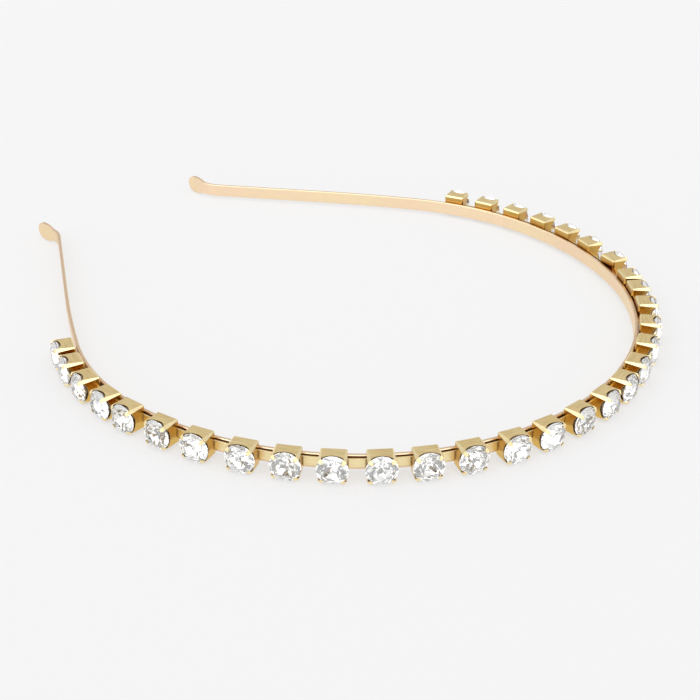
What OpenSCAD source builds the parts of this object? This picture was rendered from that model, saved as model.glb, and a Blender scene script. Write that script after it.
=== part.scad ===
// Crystal headband: a flat metal band that springs onto the head, with a soldered chain of square claw cups
// along the outside of its middle and a faceted crystal in each cup. Sizes are in millimetres.
// It lies on its edge: +Z is up, +Y runs from the crown to the two tips, and X goes across the head.
// The origin is on the surface that it lies on, at the middle of its outline.

/* [Band] */
// Thickness of the band's strip
band_t = 0.8; // [0.6:0.1:1]
// Height of the strip as it lies on its edge
band_h = 3.2; // [2.6:0.1:3.6]
// How far the middle of the strip lies below the middle of the crystals
band_drop = 0.75; // [0.4:0.05:0.8]
// Bevel along the strip's four long edges
band_bevel = 0.15; // [0.05:0.05:0.25]

/* [Band curve] */
// Bend radius at the crown
crown_r = 68; // [64:1:72]
// Length of the crown's bend on each side of the middle
crown_l = 21; // [15:1:25]
// Bend radius of the shoulder
shoulder_r = 62; // [58:1:66]
// Length of the shoulder's bend
shoulder_l = 43; // [38:1:46]
// Bend radius of the side
side_r = 66; // [62:1:72]
// Length of the side's bend
side_l = 42; // [36:1:46]
// Bend radius of the heel, where the band turns in behind the ear, on the -X side
heel_r = 60; // [58:1:72]
// The same on the +X side, which is sprung in a little more
right_heel_r = 58; // [56:1:72]
// Length of the heel's bend
heel_l = 26; // [20:1:28]
// Bend radius of the nearly straight start of the leg on the -X side
leg_r = 330; // [250:10:500]
// The same on the +X side
right_leg_r = 270; // [250:10:500]
// Length of that start of the leg
leg_l = 25; // [15:1:30]
// Length of the straight leg on the -X side
straight_l = 34; // [20:1:40]
// Length of the straight leg on the +X side
right_straight_l = 31; // [20:1:34]
// Bend radius where the tip is turned out
tip_r = 8; // [5:1:12]
// Length of the pad at the tip
pad_l = 6; // [5:0.5:9]
// Height of the pad
pad_h = 4.4; // [3.8:0.1:4.6]

/* [Chain] */
// Number of crystals
stones = 31; // [11:2:31]
// Spacing of the crystals, measured along the band
pitch = 8.5; // [8.4:0.1:8.6]
// How far the chain's middle sits from the crown's middle, along the band
chain_shift = -5.6; // [-6:0.1:6]
// Width of a cup over its walls at their foot
cup_w = 5.2; // [5.1:0.1:5.4]
// Width of a cup over its walls at their front edges
cup_front_w = 5.5; // [5.4:0.1:5.7]
// Width of each wall between the bevels at its corners, at their foot
wall_w = 4.7; // [4.6:0.1:5]
// Width of the scallop in each wall's front edge
scallop_w = 4; // [3.9:0.1:4.1]
// Thickness of a cup's sheet metal
sheet_t = 0.2; // [0.15:0.05:0.25]
// Bevel between a cup's walls and its back
back_bevel = 0.35; // [0.1:0.05:0.5]
// Height of the flat strips that join the cups
link_h = 1.9; // [1.6:0.1:2.4]
// Thickness of those strips
link_t = 0.35; // [0.2:0.05:0.5]
// How far the strips' middle lies below the middle of the crystals
link_drop = 0.3; // [0:0.1:0.4]
// Most that a cup is turned out of line with the band, in degrees
cup_turn = 1.2; // [0:0.1:1.5]

/* [Claws] */
// Width of a claw
claw_w = 0.85; // [0.6:0.05:0.95]
// Distance from the crystal's axis to a claw's point
claw_tip = 2.6; // [2.3:0.1:2.7]

/* [Crystals] */
// Diameter of a crystal at its girdle
stone_d = 6.3; // [6:0.1:6.4]
// Diameter of its table, corner to corner
table_d = 3.5; // [3:0.1:3.8]
// Height of its crown, from the girdle to the table
crown_h = 1; // [0.8:0.1:1.2]
// Thickness of its girdle
girdle_t = 0.2; // [0.1:0.05:0.3]
// Depth of its pavilion, from the girdle to the point
pavilion_h = 3; // [2.7:0.1:3.2]

/* [Hidden] */
$fn = 180;
// Gap that each piece keeps from its neighbour, and the claws from a crystal's crown
gap = 0.1;
claw_gap = 0.12;
// Room under a crystal's point
culet_room = 0.6;
// How far each stretch of the band runs into the next, and how much fuller every second one is all round, so
// that it closes over its neighbours' ends and they are one solid
lap = 0.05;
fuller = 0.003;

// Crystal: radii, and levels above the middle of the girdle
stone_r = stone_d / 2;
table_r = table_d / 2;
girdle_top = girdle_t / 2;
crown_a = atan(crown_h / (stone_r - table_r));
pavilion_a = atan(pavilion_h / stone_r);
// The star ring is halfway from the table's edge to the girdle, the low ring three tenths down to the point
star_r = (table_r * cos(22.5) + stone_r) / 2;
star_z = girdle_top + (stone_r - star_r * cos(22.5)) * tan(crown_a);
low_r = 0.7 * stone_r;
low_z = -girdle_top - (stone_r - low_r * cos(22.5)) * tan(pavilion_a);
// Slope of the steepest edges below the girdle
lower_slope = (-girdle_top - low_z) / (stone_r - low_r);

// Cup: distances outward from the middle of the band's strip
cup_back = band_t / 2 + gap;
cup_floor = cup_back + sheet_t;
wall_foot = cup_back + back_bevel;
girdle_out = cup_floor + culet_room + pavilion_h + girdle_top;
stone_front = girdle_out + girdle_top + crown_h;
link_back = cup_floor + 0.2;
// The walls end a little behind the girdle, and the scallop in each one lets the girdle stand out past the wall
wall_front = girdle_out - girdle_top - gap / 2;
scallop_d = (stone_r + sheet_t - cup_front_w / 2) * lower_slope + 2 * gap;
scallop_r = (pow(scallop_w / 2, 2) + pow(scallop_d, 2)) / (2 * scallop_d);
// Distance from a cup's middle to its corners' bevels, at the walls' foot and at their front edges: the walls lean
// out a little and the bevels in, so that a bevel widens to the front and ends just outside the crystal
corner_foot = (cup_w + wall_w) / sqrt(8);
corner_front = stone_r + gap + sheet_t;
// The claws grow from the corners: how deep their root is, and where they are blunted before the point
claw_root = 0.6;
blunt = claw_tip + 0.3;

// Heights above the surface: the crystals' girdles rest on it
stone_z = stone_r;
band_z = stone_z - band_drop;
link_z = stone_z - link_drop;
pad_flare = 2;

// Half of the band on either side, from the crown's middle to the tip: length and bend radius of each stretch,
// 0 for straight
LEFT = [
    [crown_l, crown_r],
    [shoulder_l, shoulder_r],
    [side_l, side_r],
    [heel_l, heel_r],
    [leg_l, leg_r],
    [straight_l, 0]
];
RIGHT = [
    [crown_l, crown_r],
    [shoulder_l, shoulder_r],
    [side_l, side_r],
    [heel_l, right_heel_r],
    [leg_l, right_leg_r],
    [right_straight_l, 0]
];

// Cups laid unevenly by hand: number, slip along the band towards the last cup, turn in degrees, and how far
// the cup stands off the band
LAID = [
    [1, 3.8, 0, 0.4],
    [2, 2.2, -3, 0.3],
    [3, 1.1, -2, 0.2],
    [4, 0.6, 0, 0.2],
    [5, -1.1, 3, 0],
    [6, -0.6, 0, 0],
    [7, -0.7, 1, 0],
    [14, 0.5, -3, 0],
    [18, -0.8, 1, 0],
    [19, -1.2, 0, 0],
    [20, -0.6, 0, 0],
    [22, 0.7, 1, 0],
    [23, 0.2, 0, 0],
    [24, -2.1, 0, 0],
    [25, -1.9, 11, 0]
];

// Angle that a bend of this length and radius turns through
function turned(length, r) = r == 0 ? 0 : length / r * 180 / PI;

// Place and heading [x, y, angle] after going this length along a stretch from "from"
function along(from, length, r) =
    r == 0
        ? [from.x + length * cos(from.z), from.y + length * sin(from.z), from.z]
        : let (to = from.z + turned(length, r))
          [from.x + r * (sin(to) - sin(from.z)), from.y - r * (cos(to) - cos(from.z)), to];

// Place and heading at distance s from the crown's middle along half of the band, drawn towards +X
function walk(half, s, k = 0, from = [0, 0, 0]) =
    let (length = half[k][0], r = half[k][1])
    s <= length || k == len(half) - 1
        ? along(from, s, r)
        : walk(half, s - length, k + 1, along(from, length, r));

// The same on the whole band, where a negative s goes towards -X
function on_band(s) =
    let (p = walk(s < 0 ? LEFT : RIGHT, abs(s)))
    [sign(s) * p.x, p.y, sign(s) * p.z];

// Start of stretch k, and where the bend at the tip and the pad start
function start_of(half, k) =
    k == 0 ? [0, 0, 0] : along(start_of(half, k - 1), half[k - 1][0], half[k - 1][1]);
function tip_start(half) = start_of(half, len(half));
function tip_l(half) = (tip_start(half).z - 90) * PI / 180 * tip_r;
function pad_start(half) = along(tip_start(half), tip_l(half), -tip_r);

// Row of that table for cup i: a cup that it leaves out is only turned a little
function laid(i) =
    let (rows = [for (row = LAID) if (row[0] == i) row])
    len(rows) > 0 ? rows[0] : [i, 0, cup_turn * sin(i * 137), 0];

// Place and heading of cup i, which stands off the band at least as far as its turn needs
function cup_at(i) =
    let (
        slip = laid(i)[1],
        turn = laid(i)[2],
        p = on_band((i - (stones + 1) / 2) * pitch + chain_shift + slip),
        off = cup_w / 2 * sin(abs(turn)) + laid(i)[3]
    )
    [p.x + off * sin(p.z), p.y - off * cos(p.z), p.z + turn];

// Point beside cup i, from its distance across the cup and outward from the band
function beside_cup(i, across, out) =
    let (p = cup_at(i))
    [p.x + across * cos(p.z) + out * sin(p.z), p.y + across * sin(p.z) - out * cos(p.z)];

// Ring of n points at radius r and level z, the first at this angle
function ring(n, r, z, first = 0) =
    [for (k = [0 : n - 1]) [r * cos(first + k * 360 / n), r * sin(first + k * 360 / n), z]];

// Distance outward at radius r of a surface that lies this far above the highest facets of the crystal's crown
function over_crown(r, above) = girdle_out + star_z + (star_r - r) * tan(crown_a) + above / cos(crown_a);

// Half width at level z of a wall or corner that leans from this at its foot to that at its front edge
function leaning(foot, front, z) = foot + (front - foot) * (z - wall_foot) / (wall_front - wall_foot);

// Levels of the claws' top and of whatever stands out furthest, and from the crown's middle to the middle of
// the whole outline
claw_top = max(over_crown(claw_tip, claw_gap + sheet_t / 2), over_crown(blunt, claw_gap + sheet_t));
front_most = max(stone_front, claw_top);
middle_y = (max(pad_start(LEFT).y, pad_start(RIGHT).y) + pad_l - front_most) / 2;

function stone_name(i) = str("stone_", i < 10 ? "0" : "", i);

// Puts the middle of the outline at the origin
module placed() {
    translate([0, -middle_y, 0]) children();
}

// Section of the strip, with its long edges bevelled
module strip_section(more) {
    x = band_t / 2 + more;
    y = band_h / 2 + more;
    b = band_bevel;
    polygon([[x - b, -y], [x, b - y], [x, y - b], [x - b, y], [b - x, y], [-x, y - b], [-x, b - y], [b - x, -y]]);
}

// One stretch of the strip, bent to the left for a radius above 0 and to the right below 0, and run a little
// way into its neighbours
module strip_stretch(from, length, r, more = 0) {
    start = along(from, -lap, r);
    run = length + 2 * lap;
    turn = abs(turned(run, r));
    if (r == 0)
        translate([start.x, start.y, band_z]) rotate([90, 0, 90 + start.z])
            linear_extrude(run) strip_section(more);
    else
        translate([start.x - r * sin(start.z), start.y + r * cos(start.z), band_z])
            rotate([0, 0, r > 0 ? start.z - 90 : start.z + 90 - turn])
                rotate_extrude(angle = turn) translate([abs(r), 0]) strip_section(more);
}

// Round-ended pad at the tip, seen from the side, starting as high as the strip
module pad_outline() {
    polygon([
        [0, -band_h / 2],
        [pad_flare, -pad_h / 2],
        [pad_l - pad_h / 2, -pad_h / 2],
        [pad_l - pad_h / 2, pad_h / 2],
        [pad_flare, pad_h / 2],
        [0, band_h / 2]
    ]);
    translate([pad_l - pad_h / 2, 0]) circle(d = pad_h);
}

module pad(from) {
    translate([from.x, from.y, band_z]) rotate([90, 0, from.z])
        linear_extrude(band_t, center = true) pad_outline();
}

// One side of the band, from the end of the crown's bend to the tip
module side_of_band(half) {
    for (k = [1 : len(half) - 1])
        strip_stretch(start_of(half, k), half[k][0], half[k][1], k % 2 == 0 ? fuller : 0);
    strip_stretch(tip_start(half), tip_l(half), -tip_r, fuller);
    pad(pad_start(half));
}

module band() {
    color([0.93, 0.8, 0.64]) placed() {
        strip_stretch(along([0, 0, 0], -crown_l, crown_r), 2 * crown_l, crown_r, fuller);
        side_of_band(RIGHT);
        mirror([1, 0, 0]) side_of_band(LEFT);
    }
}

// Frame of cup i: X across the cup, Y up and Z outward from the band
module in_cup(i) {
    p = cup_at(i);
    translate([p.x, p.y, stone_z]) rotate([90, 0, p.z]) children();
}

// Side view of something that leans like a wall or a corner, set in from it, between two levels
module leaning_side(foot, front, inset, low, high) {
    a = leaning(foot, front, low) - inset;
    b = leaning(foot, front, high) - inset;
    polygon([[-a, low], [a, low], [b, high], [-b, high]]);
}

// Both pairs of walls or corners, of which the first pair is seen from this angle
module both_ways(angle) {
    intersection_for (a = [angle, angle + 90])
        rotate([90, 0, a]) linear_extrude(2 * cup_front_w, center = true) children();
}

// Outside of a cup, with its bevelled back and corners, as high as the claws
module cup_outside() {
    high = claw_top + gap;
    intersection() {
        both_ways(0) leaning_side(cup_w / 2, cup_front_w / 2, 0, cup_back, high);
        both_ways(45) leaning_side(corner_foot, corner_front, 0, cup_back, high);
        both_ways(0) polygon([
            [back_bevel - cup_w / 2, cup_back],
            [cup_w / 2 - back_bevel, cup_back],
            [cup_w / 2 - back_bevel + high, cup_back + high],
            [back_bevel - cup_w / 2 - high, cup_back + high]
        ]);
    }
}

// Folded sheet box of a cup, open to the front, with a scallop in each wall's front edge
module cup_box() {
    difference() {
        cup_outside();
        translate([0, 0, wall_front]) linear_extrude(claw_top) square(2 * cup_front_w, center = true);
        intersection() {
            both_ways(0) leaning_side(cup_w / 2, cup_front_w / 2, sheet_t, cup_floor, girdle_out);
            both_ways(45) leaning_side(corner_foot, corner_front, sheet_t, cup_floor, girdle_out);
        }
        for (a = [0, 90])
            rotate([0, 0, a]) translate([0, 0, wall_front - scallop_d + scallop_r]) rotate([90, 0, 0])
                cylinder(r = scallop_r, h = cup_front_w + 2, center = true);
    }
}

// One claw, drawn along X: it rises on the corner's bevel and folds over the crystal's crown
module claw() {
    inside = corner_front - 0.8 * sheet_t;
    outside = corner_front + 2 * gap;
    root = girdle_out - claw_root;
    intersection() {
        rotate([90, 0, 0]) linear_extrude(cup_w, center = true) polygon([
            [inside, root],
            [outside, root],
            [outside, over_crown(outside, claw_gap + sheet_t)],
            [blunt, over_crown(blunt, claw_gap + sheet_t)],
            [claw_tip, over_crown(claw_tip, claw_gap + sheet_t / 2)],
            [claw_tip, over_crown(claw_tip, claw_gap)],
            [inside, over_crown(inside, claw_gap)]
        ]);
        linear_extrude(claw_top + gap) polygon([
            [outside, -claw_w / 2],
            [outside, claw_w / 2],
            [blunt, 0.4 * claw_w],
            [claw_tip, 0.2 * claw_w],
            [claw_tip, -0.2 * claw_w],
            [blunt, -0.4 * claw_w]
        ]);
    }
}

module cup() {
    cup_box();
    intersection() {
        cup_outside();
        for (a = [45 : 90 : 315]) rotate([0, 0, a]) claw();
    }
}

// Flat strip from cup i to the next one, let into the middle of both walls
module link(i) {
    end = cup_w / 2 - sheet_t / 2;
    front = link_back + link_t;
    translate([0, 0, link_z - link_h / 2]) linear_extrude(link_h) polygon([
        beside_cup(i, end, link_back),
        beside_cup(i, end, front),
        beside_cup(i + 1, -end, front),
        beside_cup(i + 1, -end, link_back)
    ]);
}

module cup_chain() {
    color([0.85, 0.7, 0.4]) placed() {
        for (i = [1 : stones]) in_cup(i) cup();
        for (i = [1 : stones - 1]) link(i);
    }
}

// Brilliant-cut crystal round the Z axis, with its table up and the middle of its girdle at the origin.
// Its corners are the table's 8, the star ring's 8, the girdle's 16 upper and 16 lower, the low ring's 8 and
// the point.
module crystal() {
    corners = concat(
        ring(8, table_r, girdle_top + crown_h),
        ring(8, star_r, star_z, 22.5),
        ring(16, stone_r, girdle_top),
        ring(16, stone_r, -girdle_top),
        ring(8, low_r, low_z, 22.5),
        [[0, 0, -girdle_top - pavilion_h]]
    );
    point = len(corners) - 1;
    function table(k) = k % 8;
    function star(k) = 8 + k % 8;
    function upper(k) = 16 + k % 16;
    function lower(k) = 32 + k % 16;
    function low(k) = 48 + k % 8;
    polyhedron(corners, concat(
        [[for (k = [7 : -1 : 0]) table(k)]],
        [for (k = [0 : 7]) [table(k), table(k + 1), star(k)]],
        [for (k = [0 : 7]) [table(k), star(k), upper(2 * k), star(k + 7)]],
        [for (k = [0 : 7], j = [2 * k, 2 * k + 1]) [star(k), upper(j + 1), upper(j)]],
        [for (k = [0 : 15]) [upper(k), upper(k + 1), lower(k + 1), lower(k)]],
        [for (k = [0 : 7], j = [2 * k, 2 * k + 1]) [low(k), lower(j), lower(j + 1)]],
        [for (k = [0 : 7]) [point, low(k + 7), lower(2 * k), low(k)]]
    ));
}

// Crystal i in its cup, each with its facets turned to another angle
module stone(i) {
    color([0.93, 0.95, 0.97]) placed() in_cup(i) translate([0, 0, girdle_out]) rotate([0, 0, 37 * i])
        crystal();
}

band();
cup_chain();
for (i = [1 : stones]) stone(i);
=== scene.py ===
# %% [markdown]
# # Crystal headband
# The metal band, the chain of claw cups and the crystals come in from the packed model with their
# true sizes, and nothing here moves or reshapes them. What is made here is what the eye judges a
# piece of jewellery by: plated metal with its drawn lines, softened edges and handling marks, cut
# glass with a silvered back, and the light that they mirror.

# %% Load the packed model
import math

import bpy
from mathutils import Matrix, Vector

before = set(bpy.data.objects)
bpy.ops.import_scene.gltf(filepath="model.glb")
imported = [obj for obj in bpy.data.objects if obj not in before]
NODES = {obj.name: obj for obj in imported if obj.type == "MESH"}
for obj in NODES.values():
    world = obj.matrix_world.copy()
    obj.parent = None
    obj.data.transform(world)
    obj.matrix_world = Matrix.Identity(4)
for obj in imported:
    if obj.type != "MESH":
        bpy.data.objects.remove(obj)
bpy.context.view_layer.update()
STONES = sorted(name for name in NODES if name.startswith("stone_"))
MM_PER_M = 1000.0


print("nodes:", len(NODES), "of them crystals:", len(STONES))

# %% [markdown]
# ## Camera
# The view is from the front left and fairly low, through a lens that is a little long for the
# distance, so that the near crystals are larger than the far ones but the oval keeps its shape. It
# could be aimed with a constraint. Here its direction is written as three angles, because they are
# what was measured: the heading, the drop below the horizon, and a trace of roll.

# %% Camera
EYE = Vector((-0.19955, -0.19431, 0.14133))
HEADING, DROP, ROLL = 0.822, 0.5063, 0.0087
FOCAL_MM, SENSOR_MM = 67.27, 36
NEAREST, FARTHEST = 0.01, 20

camera_data = bpy.data.cameras.new("view")
camera_data.lens = FOCAL_MM
camera_data.sensor_width = SENSOR_MM
camera_data.clip_start = NEAREST
camera_data.clip_end = FARTHEST
camera = bpy.data.objects.new("view", camera_data)
camera.matrix_world = (
    Matrix.Translation(EYE)
    @ Matrix.Rotation(-HEADING, 4, "Z")
    @ Matrix.Rotation(math.pi / 2 - DROP, 4, "X")
    @ Matrix.Rotation(ROLL, 4, "Z")
)
bpy.context.scene.collection.objects.link(camera)
bpy.context.scene.camera = camera
print("camera stands", round(EYE.length * MM_PER_M), "mm from the middle of the headband")

# %% [markdown]
# ## Sums in a shader
# A finish is a sum of masks, colours and small heights. Drawn as nodes it is hard to follow, so a
# small class stands for one output and lets the sums be written as Python. Colours go through a Mix
# node and directions through Vector Math, because a Math node would turn them grey.

# %% One value in a finish
class Wire:
    """An output of a node. A sum on it adds a Math node."""

    def __init__(self, finish, socket):
        self.finish = finish
        self.socket = socket

    def __add__(self, other):
        return self.finish.maths("ADD", self, other)

    def __sub__(self, other):
        return self.finish.maths("SUBTRACT", self, other)

    def __rsub__(self, other):
        return self.finish.maths("SUBTRACT", other, self)

    def __mul__(self, other):
        return self.finish.maths("MULTIPLY", self, other)

    __radd__ = __add__
    __rmul__ = __mul__


print("sums on a wire: + - *")

# %% [markdown]
# ## A finish and its nodes
# Every node comes from one method, which sets the node up, fills or joins its sockets and hands
# back one of its outputs. The methods after it are the few tools that each finish here is made
# with: a colour blend, a soft step that turns a value into a mask, a cloudy noise, and the three
# numbers of a direction.

# %% Finish
COLOUR_A, COLOUR_B, COLOUR_OUT = 6, 7, 2  # where a Mix node keeps its colours


class Finish:
    """A material whose nodes are added one by one"""

    def __init__(self, name, tree=None):
        if tree is None:
            self.material = bpy.data.materials.new(name)
            self.material.use_nodes = True
            tree = self.material.node_tree
        self.tree = tree
        self.tree.nodes.clear()

    def add(self, kind, settings=None, sockets=None, out=0):
        """A new node of this kind, set up and joined; hands back one of its outputs"""
        node = self.tree.nodes.new(kind)
        for key, value in (settings or {}).items():
            setattr(node, key, value)
        for key, value in (sockets or {}).items():
            if isinstance(value, Wire):
                self.tree.links.new(value.socket, node.inputs[key])
            else:
                node.inputs[key].default_value = value
        return Wire(self, node.outputs[out]) if node.outputs else None

    def maths(self, operation, *values):
        return self.add("ShaderNodeMath", {"operation": operation}, dict(enumerate(values)))

    def vectors(self, operation, *values, out="Vector"):
        settings = {"operation": operation}
        return self.add("ShaderNodeVectorMath", settings, dict(enumerate(values)), out)

    def split(self, vector):
        """The x, y and z of a vector"""
        node = self.add("ShaderNodeSeparateXYZ", None, {0: vector}).socket.node
        return [Wire(self, socket) for socket in node.outputs]

    def blend(self, mask, low, high):
        """Colour low where the mask is 0 and colour high where it is 1"""
        low, high = [c if isinstance(c, Wire) else (*c, 1) for c in (low, high)]
        sockets = {0: mask, COLOUR_A: low, COLOUR_B: high}
        return self.add("ShaderNodeMix", {"data_type": "RGBA"}, sockets, COLOUR_OUT)

    def step(self, value, start, end):
        """0 at start, 1 at end, and smooth between them; start may be the larger"""
        settings = {"interpolation_type": "SMOOTHSTEP", "clamp": True}
        return self.add("ShaderNodeMapRange", settings, {0: value, 1: start, 2: end})

    def noise(self, where, scale, detail=2.0, roughness=0.5):
        """Soft cloudy value between 0 and 1"""
        sockets = {"Vector": where, "Scale": scale, "Detail": detail, "Roughness": roughness}
        return self.add("ShaderNodeTexNoise", {"noise_dimensions": "3D"}, sockets)

    def close(self, shader):
        self.add("ShaderNodeOutputMaterial", None, {"Surface": shader})
        print("finish:", self.material.name, "with", len(self.tree.nodes), "nodes")
        return self.material


print("tools of a finish:", [name for name in vars(Finish) if not name.startswith("_")])

# %% [markdown]
# ## Coordinates that follow the chain
# Rolled and drawn metal has fine lines along its length. The headband is nearly a circle where the
# chain lies, so the distance from that circle's centre and the angle round it tell across from
# along, with no map painted on the metal. Both are in millimetres, so the scales of the noise below
# are real ones.

# %% Coordinates along and across the chain
CHAIN_MIDDLE_Y = -10.0
CHAIN_R = 64.0


def place_mm(finish):
    """Place on the headband, in millimetres"""
    place = finish.add("ShaderNodeTexCoord", out="Object")
    return finish.add("ShaderNodeVectorMath", {"operation": "SCALE"}, {0: place, 3: MM_PER_M})


def round_the_chain(finish, place):
    """The same place as: across the chain, along it, up"""
    x, y, z = finish.split(place)
    y = y - CHAIN_MIDDLE_Y
    across = finish.maths("SQRT", x * x + y * y)
    along = finish.maths("ARCTAN2", x, 0 - y) * CHAIN_R
    return across, along, z


def drawn_lines(finish, chain_place, squeezes, detail, roughness):
    """Noise squeezed by three numbers: across the chain, along it and up"""
    squeezed = {i: value * squeezes[i] for i, value in enumerate(chain_place)}
    where = finish.add("ShaderNodeCombineXYZ", None, squeezed)
    return finish.noise(where, 1.0, detail, roughness)


print("chain circle: radius", CHAIN_R, "mm, middle at y =", CHAIN_MIDDLE_Y, "mm")

# %% [markdown]
# ## Which way a face looks
# The finish paints highlights, reflections and shade on a face, and sets its roughness, by which
# way it looks, so it has to know which way each face looks. Faces could be sorted by hand. Two
# numbers do it for all of them: how far a face looks up or down, and how far it looks out from the
# head.

# %% Directions of a face
def facing(finish):
    """How far the surface looks up or down, and how far it looks out from the head"""
    flat = finish.add("ShaderNodeNewGeometry", out="Normal")
    place = finish.add("ShaderNodeTexCoord", out="Object")
    up = finish.split(flat)[2]
    radial = finish.vectors("SUBTRACT", place, (0, CHAIN_MIDDLE_Y / MM_PER_M, 0))
    radial = finish.vectors("MULTIPLY", radial, (1, 1, 0))
    radial = finish.vectors("NORMALIZE", radial)
    outward = finish.vectors("DOT_PRODUCT", flat, radial, out="Value")
    return finish.maths("ABSOLUTE", up), outward


print("a face is told by how far it looks up, and how far it looks outward")

# %% [markdown]
# ## Edges with painted highlights, corners with painted shade
# On folded and plated sheet every edge is a little round, and the polishing mop touches it first,
# so it is smoother than the flats; its paleness is a painted highlight. The Bevel node gives the
# direction that a rounded edge would face; where that differs from the flat's own direction there
# is an edge. It rounds the shine without adding a vertex. The narrow corners are painted dark as
# shade, and the Ambient Occlusion node finds those.

# %% Edges, bumps and nooks
FEELERS = 6  # rays that a node sends out to feel what is round a point


def rounded(finish, radius_mm):
    """The direction of a surface whose edges are rounded, and a mask that is 1 on those edges"""
    settings, sockets = {"samples": FEELERS}, {"Radius": radius_mm / MM_PER_M}
    soft = finish.add("ShaderNodeBevel", settings, sockets)
    flat = finish.add("ShaderNodeNewGeometry", out="Normal")
    agree = finish.vectors("DOT_PRODUCT", soft, flat, out="Value")
    return soft, finish.step(1 - agree, 0.01, 0.2)


def bumped(finish, height, depth_mm, normal):
    """Tilts the surface by a height of this many millimetres"""
    distance = depth_mm / MM_PER_M
    sockets = {"Strength": 1.0, "Distance": distance, "Height": height, "Normal": normal}
    return finish.add("ShaderNodeBump", None, sockets)


def openness(finish, reach_mm):
    """1 in the open and nearly 0 in a nook that other metal closes in within this reach"""
    settings, sockets = {"samples": FEELERS}, {"Distance": reach_mm / MM_PER_M}
    return finish.add("ShaderNodeAmbientOcclusion", settings, sockets, out="AO")


def polished(finish, colour, rough, normal):
    """Closes a finish as bare polished metal"""
    sockets = {"Base Color": colour, "Metallic": 1.0, "Roughness": rough, "Normal": normal}
    return finish.close(finish.add("ShaderNodeBsdfPrincipled", None, sockets))


print("edges are rounded by the shader, not in the mesh")

# %% [markdown]
# ## Gold-plated cups
# Each cup is a cross of thin brass sheet folded into a box, polished and gold plated. It could be a
# plain yellow metal, but then every cup would look the same. Sheet this thin is never quite flat,
# so a broad, very low bump bends its reflections, the press leaves fine lines along the chain, and
# the colour drifts a little from cup to cup. The walls between two cups mirror each other's gold,
# and that reflection is painted into them as a deeper gold, most of all in their upper half, while
# the bevels and the claws' fronts get a painted pale highlight. The nooks, and the seam round each
# crystal's seat, are painted dark as shade.

# %% Golds of the cups
GOLD = (0.93, 0.75, 0.40)
DEEP_GOLD = (0.86, 0.64, 0.28)
# The next two golds are painted reflection: the gold that the walls between two cups mirror from
# each other.
WALL_REFLECTION_GOLD = (0.90, 0.57, 0.13)
DEEP_WALL_REFLECTION = (0.52, 0.26, 0.03)
LINE_GOLD = (0.60, 0.44, 0.19)
# The next gold is a painted highlight on edges, bevels and the outward fronts of claws and links.
HIGHLIGHT_GOLD = (0.98, 0.84, 0.50)
# The next colour is painted shade, for the nooks and the seam round each crystal's seat.
CUP_SHADE_BROWN = (0.16, 0.07, 0.018)
CUP_EDGE_MM = 0.09
NOOK_MM, SEAM_MM = 1.2, 0.5
# The deeper painted reflection on a wall begins and is full at these heights.
REFLECTION_DEEPENS_MM = 2.7, 3.3  # height on a wall where the deeper gold begins, and where it is full
SHEET_BUCKLE_MM, PRESS_LINE_MM = 0.08, 0.03
print("golds from pale to deep:", HIGHLIGHT_GOLD, GOLD, DEEP_GOLD, WALL_REFLECTION_GOLD, DEEP_WALL_REFLECTION)


# %% Cup metal
def cup_metal():
    f = Finish("gold plated sheet")
    place = place_mm(f)
    chain_place = round_the_chain(f, place)
    soft, edge = rounded(f, CUP_EDGE_MM)
    up, outward = facing(f)
    drift = f.noise(place, 0.11, 1.0)
    lines = drawn_lines(f, chain_place, (5.0, 0.25, 5.0), 4.0, 0.7)
    buckle = f.noise(place, 0.55, 1.0)
    specks = f.noise(place, 9.0, 2.0, 0.7)
    height = chain_place[2] + buckle

    bevel = f.step(up, 0.45, 0.6) * f.step(up, 0.9, 0.8)
    fronts = f.step(outward, 0.6, 0.85) * f.step(up, 0.85, 0.6)
    walls = f.step(up, 0.5, 0.25) - fronts
    # bright is the mask of the painted highlight: edges, bevels and outward fronts.
    bright = f.maths("MINIMUM", edge + bevel + fronts, 1.0)
    # Painted shade: nooks that metal closes in, and the seam between a front and its crystal, are
    # painted dark.
    nook = f.step(openness(f, NOOK_MM), 0.4, 0.08)
    seam = fronts * f.step(openness(f, SEAM_MM), 0.85, 0.6)

    colour = f.blend(f.step(drift, 0.35, 0.65) * 0.6, GOLD, DEEP_GOLD)
    # Painted reflection: the walls take the gold they mirror from each other, deeper in their upper
    # half.
    colour = f.blend(walls, colour, WALL_REFLECTION_GOLD)
    colour = f.blend(walls * f.step(height, *REFLECTION_DEEPENS_MM) * 0.85, colour, DEEP_WALL_REFLECTION)
    colour = f.blend(f.step(lines, 0.4, 0.6) * 0.6, colour, LINE_GOLD)
    # Painted highlight: edges, bevels and fronts are painted pale.
    colour = f.blend(bright * 0.85, colour, HIGHLIGHT_GOLD)
    # Painted shade in the nooks and along each crystal's seam.
    colour = f.blend(nook * 0.9, colour, CUP_SHADE_BROWN)
    colour = f.blend(seam * 0.9, colour, CUP_SHADE_BROWN)

    rough = 0.24 + lines * 0.14 - walls * 0.2 + f.step(specks, 0.62, 0.75) * 0.1 - edge * 0.08
    normal = bumped(f, buckle, SHEET_BUCKLE_MM, soft)
    normal = bumped(f, lines, PRESS_LINE_MM, normal)
    return polished(f, colour, rough, normal)


CUP_METAL = cup_metal()

# %% [markdown]
# ## Pale rose-gold band
# The band is a rolled steel strip with a paler, pinker plating than the cups, a satin finish along
# its length and a painted highlight on its bevelled edges. Fine lines run along it, which here are
# noise squeezed hard across the strip and stretched along it. The inside gets a little painted
# highlight and the narrow top a little painted shade, and close behind the cups painted shade turns
# the plating brown. A few soft marks tell that it has been handled.

# %% Golds of the band
ROSE = (0.90, 0.71, 0.45)
PINK_ROSE = (0.90, 0.66, 0.46)
# The next rose is a painted highlight, for the band's edges and its inside.
HIGHLIGHT_ROSE = (0.98, 0.85, 0.62)
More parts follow.
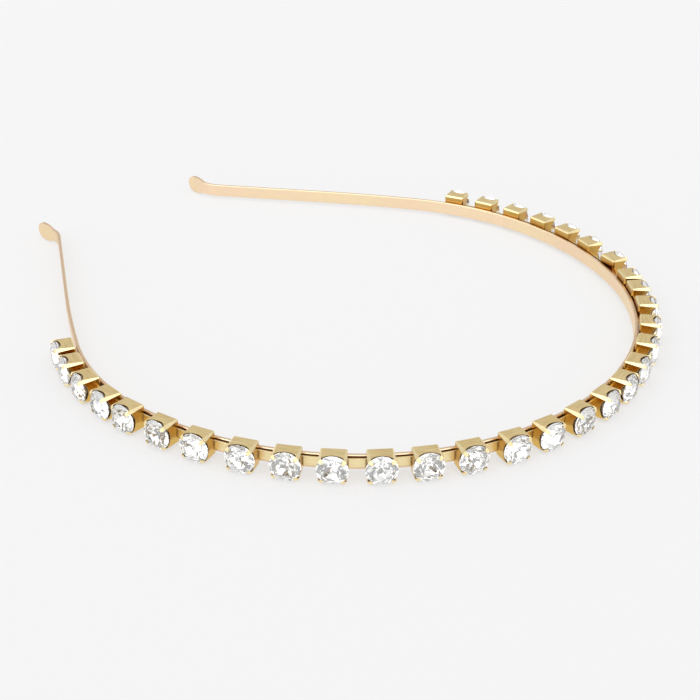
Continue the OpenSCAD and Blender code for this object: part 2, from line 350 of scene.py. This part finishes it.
# The next rose is painted shade, for the narrow top of the band.
SHADED_TOP_ROSE = (0.78, 0.58, 0.40)
MARK_ROSE = (0.62, 0.44, 0.28)
# The next colour is painted shade, close behind the cups.
BAND_SHADE_BROWN = (0.30, 0.13, 0.05)
BAND_EDGE_MM = 0.08
MARK_MM, ROLL_LINE_MM = 0.03, 0.004
print("rose golds from pale to deep:", HIGHLIGHT_ROSE, ROSE, PINK_ROSE, SHADED_TOP_ROSE, MARK_ROSE)


# %% Band metal
def band_metal():
    f = Finish("rose gold plated strip")
    place = place_mm(f)
    chain_place = round_the_chain(f, place)
    soft, edge = rounded(f, BAND_EDGE_MM)
    up, outward = facing(f)
    drift = f.noise(place, 0.06, 2.0)
    lines = drawn_lines(f, chain_place, (2.0, 0.08, 11.0), 3.0, 0.65)
    handling = f.noise(place, 0.35, 3.0, 0.6)
    specks = f.noise(place, 6.0, 2.0, 0.7)

    inner = f.step(outward, 0.0, -0.4)
    nook = f.step(openness(f, NOOK_MM), 0.4, 0.1)

    colour = f.blend(f.step(drift, 0.35, 0.65), ROSE, PINK_ROSE)
    # Painted highlight: the inside of the band is painted a little paler.
    colour = f.blend(inner * 0.25, colour, HIGHLIGHT_ROSE)
    # Painted shade: the narrow top of the band is painted a deeper rose.
    colour = f.blend(f.step(up, 0.8, 0.95), colour, SHADED_TOP_ROSE)
    # Painted highlight on the band's rounded edges.
    colour = f.blend(edge * 0.75, colour, HIGHLIGHT_ROSE)
    colour = f.blend(f.step(specks, 0.66, 0.74) * 0.35, colour, MARK_ROSE)
    # Painted shade: close behind the cups the band is painted brown.
    colour = f.blend(nook * 0.8, colour, BAND_SHADE_BROWN)

    rough = 0.22 + lines * 0.14 + inner * 0.12 + f.step(handling, 0.52, 0.7) * 0.1 - edge * 0.1
    normal = bumped(f, handling, MARK_MM, soft)
    normal = bumped(f, lines, ROLL_LINE_MM, normal)
    return polished(f, colour, rough, normal)


BAND_METAL = band_metal()

# %% Dress the metal
for name, material in {"band": BAND_METAL, "cup_chain": CUP_METAL}.items():
    NODES[name].data.materials.clear()
    NODES[name].data.materials.append(material)
    print(name, "wears", material.name)

# %% [markdown]
# ## Crystals with a silvered back
# A claw-set crystal is clear glass, and the makers silver its pointed back so that light which
# enters through the table comes out again. Glass alone would show the gold of the cup through it
# and look dull. So the front facets are glass that bends light, and the back facets are a mirror
# met from inside, with a little matte white mixed in where the foil is cloudy. Without that a facet
# is either black or white, and the real ones have greys between.

# %% Glass
CLEAR = (0.995, 0.998, 1.0)
WARM = (1.0, 0.995, 0.98)
LEAD_GLASS_IOR = 1.56


def cut_glass():
    f = Finish("cut glass")
    own = f.add("ShaderNodeObjectInfo", out="Random")
    smears = f.noise(place_mm(f), 1.6, 3.0, 0.6)
    sockets = {
        "Base Color": f.blend(own, CLEAR, WARM),
        "Roughness": f.step(smears, 0.5, 0.8) * 0.05,
        "IOR": LEAD_GLASS_IOR,
        "Transmission Weight": 1.0,
    }
    return f.close(f.add("ShaderNodeBsdfPrincipled", None, sockets))


GLASS = cut_glass()

# %% Silvering
SILVER = (0.97, 0.975, 0.98)
DULL_SILVER = (0.93, 0.93, 0.92)
FOIL = (0.95, 0.95, 0.95, 1)
FOIL_ROUGH = 0.8


def silvered_back():
    f = Finish("silvered back")
    cloud = f.noise(place_mm(f), 1.1, 2.0)
    colour = f.blend(f.step(cloud, 0.4, 0.7), SILVER, DULL_SILVER)
    sockets = {"Base Color": colour, "Metallic": 1.0, "Roughness": 0.03 + cloud * 0.05}
    mirror = f.add("ShaderNodeBsdfPrincipled", None, sockets)
    sockets = {"Base Color": FOIL, "Roughness": FOIL_ROUGH}
    foil = f.add("ShaderNodeBsdfPrincipled", None, sockets)
    sockets = {0: 0.1 + cloud * 0.2, 1: mirror, 2: foil}
    return f.close(f.add("ShaderNodeMixShader", None, sockets))


SILVERING = silvered_back()

# %% [markdown]
# ## Which facets are silvered
# The silver is on the cone of facets below the girdle. A crystal is turned with its cup, so up or
# down says nothing about its back. Its table is its largest facet, though, and a facet that looks
# away from where the table looks is a back facet.

# %% Dress the crystals
BACK_BELOW = -0.1  # a facet that agrees less than this with the table is a back facet


def table_direction(stone):
    """The direction that most of a crystal's surface faces, which is its table's"""
    facets = {}
    for p in stone.data.polygons:
        key = tuple(round(v, 2) for v in p.normal)
        facets[key] = facets.get(key, 0) + p.area
    return Vector(max(facets, key=facets.get)).normalized()


counts = set()
for name in STONES:
    stone = NODES[name]
    table = table_direction(stone)
    stone.data.materials.clear()
    stone.data.materials.append(GLASS)
    stone.data.materials.append(SILVERING)
    for p in stone.data.polygons:
        p.material_index = 1 if p.normal.dot(table) < BACK_BELOW else 0
    counts.add(sum(p.material_index for p in stone.data.polygons))
print("silvered triangles on each crystal:", sorted(counts))

# %% [markdown]
# ## Floor
# The headband lies on a plain pale sheet that is lit from below as well, as small jewellery often
# is, so that its shadow is faint. A white sheet under strong lights would come near, but would
# burn out the metal. So here the sheet is fairly dark and glows evenly. Paper is never one flat
# tone, which a broad noise gives.

# %% Floor
FLOOR_HALF = 3.0
FLOOR_GAP = 0.00002
SHEET = (0.205, 0.213, 0.23)
SHEET_CLOUD = (0.215, 0.223, 0.24)
GLOW = (1.0, 0.98, 0.955, 1.0)
GLOW_STRENGTH = 0.652


def pale_sheet():
    f = Finish("pale sheet lit from below")
    grain = f.noise(place_mm(f), 0.8, 2.0)
    sockets = {
        "Base Color": f.blend(grain, SHEET, SHEET_CLOUD),
        "Roughness": 0.9,
        "Specular IOR Level": 0.1,
        "Emission Color": GLOW,
        "Emission Strength": GLOW_STRENGTH,
    }
    return f.close(f.add("ShaderNodeBsdfPrincipled", None, sockets))


corners = [(x * FLOOR_HALF, y * FLOOR_HALF, 0) for x, y in ((-1, -1), (1, -1), (1, 1), (-1, 1))]
floor_mesh = bpy.data.meshes.new("floor")
floor_mesh.from_pydata(corners, [], [(0, 1, 2, 3)])
floor_mesh.materials.append(pale_sheet())
floor = bpy.data.objects.new("floor", floor_mesh)
floor.location = (0, 0, -FLOOR_GAP)
bpy.context.scene.collection.objects.link(floor)
print("floor is", 2 * FLOOR_HALF, "m wide")

# %% [markdown]
# ## Surroundings
# Polished metal and cut glass show their surroundings more than their own colour, so the
# surroundings are part of the picture. The half of the studio that the front of the chain looks at
# is bright, which fills the crystals with white. The half that the tops of the cups mirror is
# dimmer, so their gold stays deep, and it is a little brighter overhead. A small dark patch stands
# where the camera itself would be mirrored, and gives the glass its grey facets.

# %% Surroundings
STUDIO_WHITE = (1.0, 0.995, 0.985, 1.0)
FAR_HALF = 0.71
MORE_OVERHEAD, MORE_IN_FRONT, LESS_ROUND_EYE = 0.21, 1.03, 1.45
# where each of these begins and where it is full: 1 is straight up, in front or at the camera
OVERHEAD, IN_FRONT, ROUND_EYE = (0.45, 0.8), (0.0, 0.3), (0.945, 0.955)
EYE_WAY = EYE.normalized()

world = bpy.data.worlds.new("studio")
bpy.context.scene.world = world
world.use_nodes = True
studio = Finish("studio", world.node_tree)
x, y, height = studio.split(studio.add("ShaderNodeTexCoord", out="Generated"))
in_front = x * -math.sin(HEADING) + y * -math.cos(HEADING)
round_eye = x * EYE_WAY.x + y * EYE_WAY.y + height * EYE_WAY.z
bright = FAR_HALF + studio.step(height, *OVERHEAD) * MORE_OVERHEAD
bright = bright + studio.step(in_front, *IN_FRONT) * MORE_IN_FRONT
bright = bright - studio.step(round_eye, *ROUND_EYE) * LESS_ROUND_EYE
sky = studio.add("ShaderNodeBackground", None, {"Color": STUDIO_WHITE, "Strength": bright})
studio.add("ShaderNodeOutputWorld", None, {"Surface": sky})
print("surroundings:", len(world.node_tree.nodes), "nodes")

# %% [markdown]
# ## Soft lights
# The surroundings alone would light the metal too evenly. One softbox hangs nearly overhead and a
# smaller one stands to the left, seen from the camera. They are large for their distance, so their
# shadows are broad and faint, and the edges of the metal pick them up as pale lines. A small lamp
# would show as a hard dot on every crystal.

# %% Soft lights
def softbox(name, place, size, watts):
    light = bpy.data.lights.new(name, "AREA")
    light.shape = "DISK"
    light.size = size
    light.energy = watts
    box = bpy.data.objects.new(name, light)
    box.location = place
    box.rotation_euler = (-Vector(place)).to_track_quat("-Z", "Y").to_euler()
    bpy.context.scene.collection.objects.link(box)
    print(name, "softbox:", size, "m across,", watts, "W")


softbox("overhead", (-0.25, 0.45, 1.0), 0.9, 0.9)
softbox("side", (-0.9, 0.25, 0.7), 0.5, 0.5)

# %% [markdown]
# ## How the picture is read
# The plain view transform keeps the pale floor as pale as it is. A filmic one would grey it. Light
# in a silvered crystal bounces many times before it leaves, so it is followed for longer than
# usual, and the brightest stray sparks are held down.

# %% How the picture is read
BOUNCES, MIRROR_BOUNCES, GLASS_BOUNCES = 16, 8, 12
BRIGHTEST_SPARK = 6

scene = bpy.context.scene
scene.view_settings.view_transform = "Standard"
scene.cycles.max_bounces = BOUNCES
scene.cycles.glossy_bounces = MIRROR_BOUNCES
scene.cycles.transmission_bounces = GLASS_BOUNCES
scene.cycles.sample_clamp_indirect = BRIGHTEST_SPARK
print("view transform:", scene.view_settings.view_transform)

# %% [markdown]
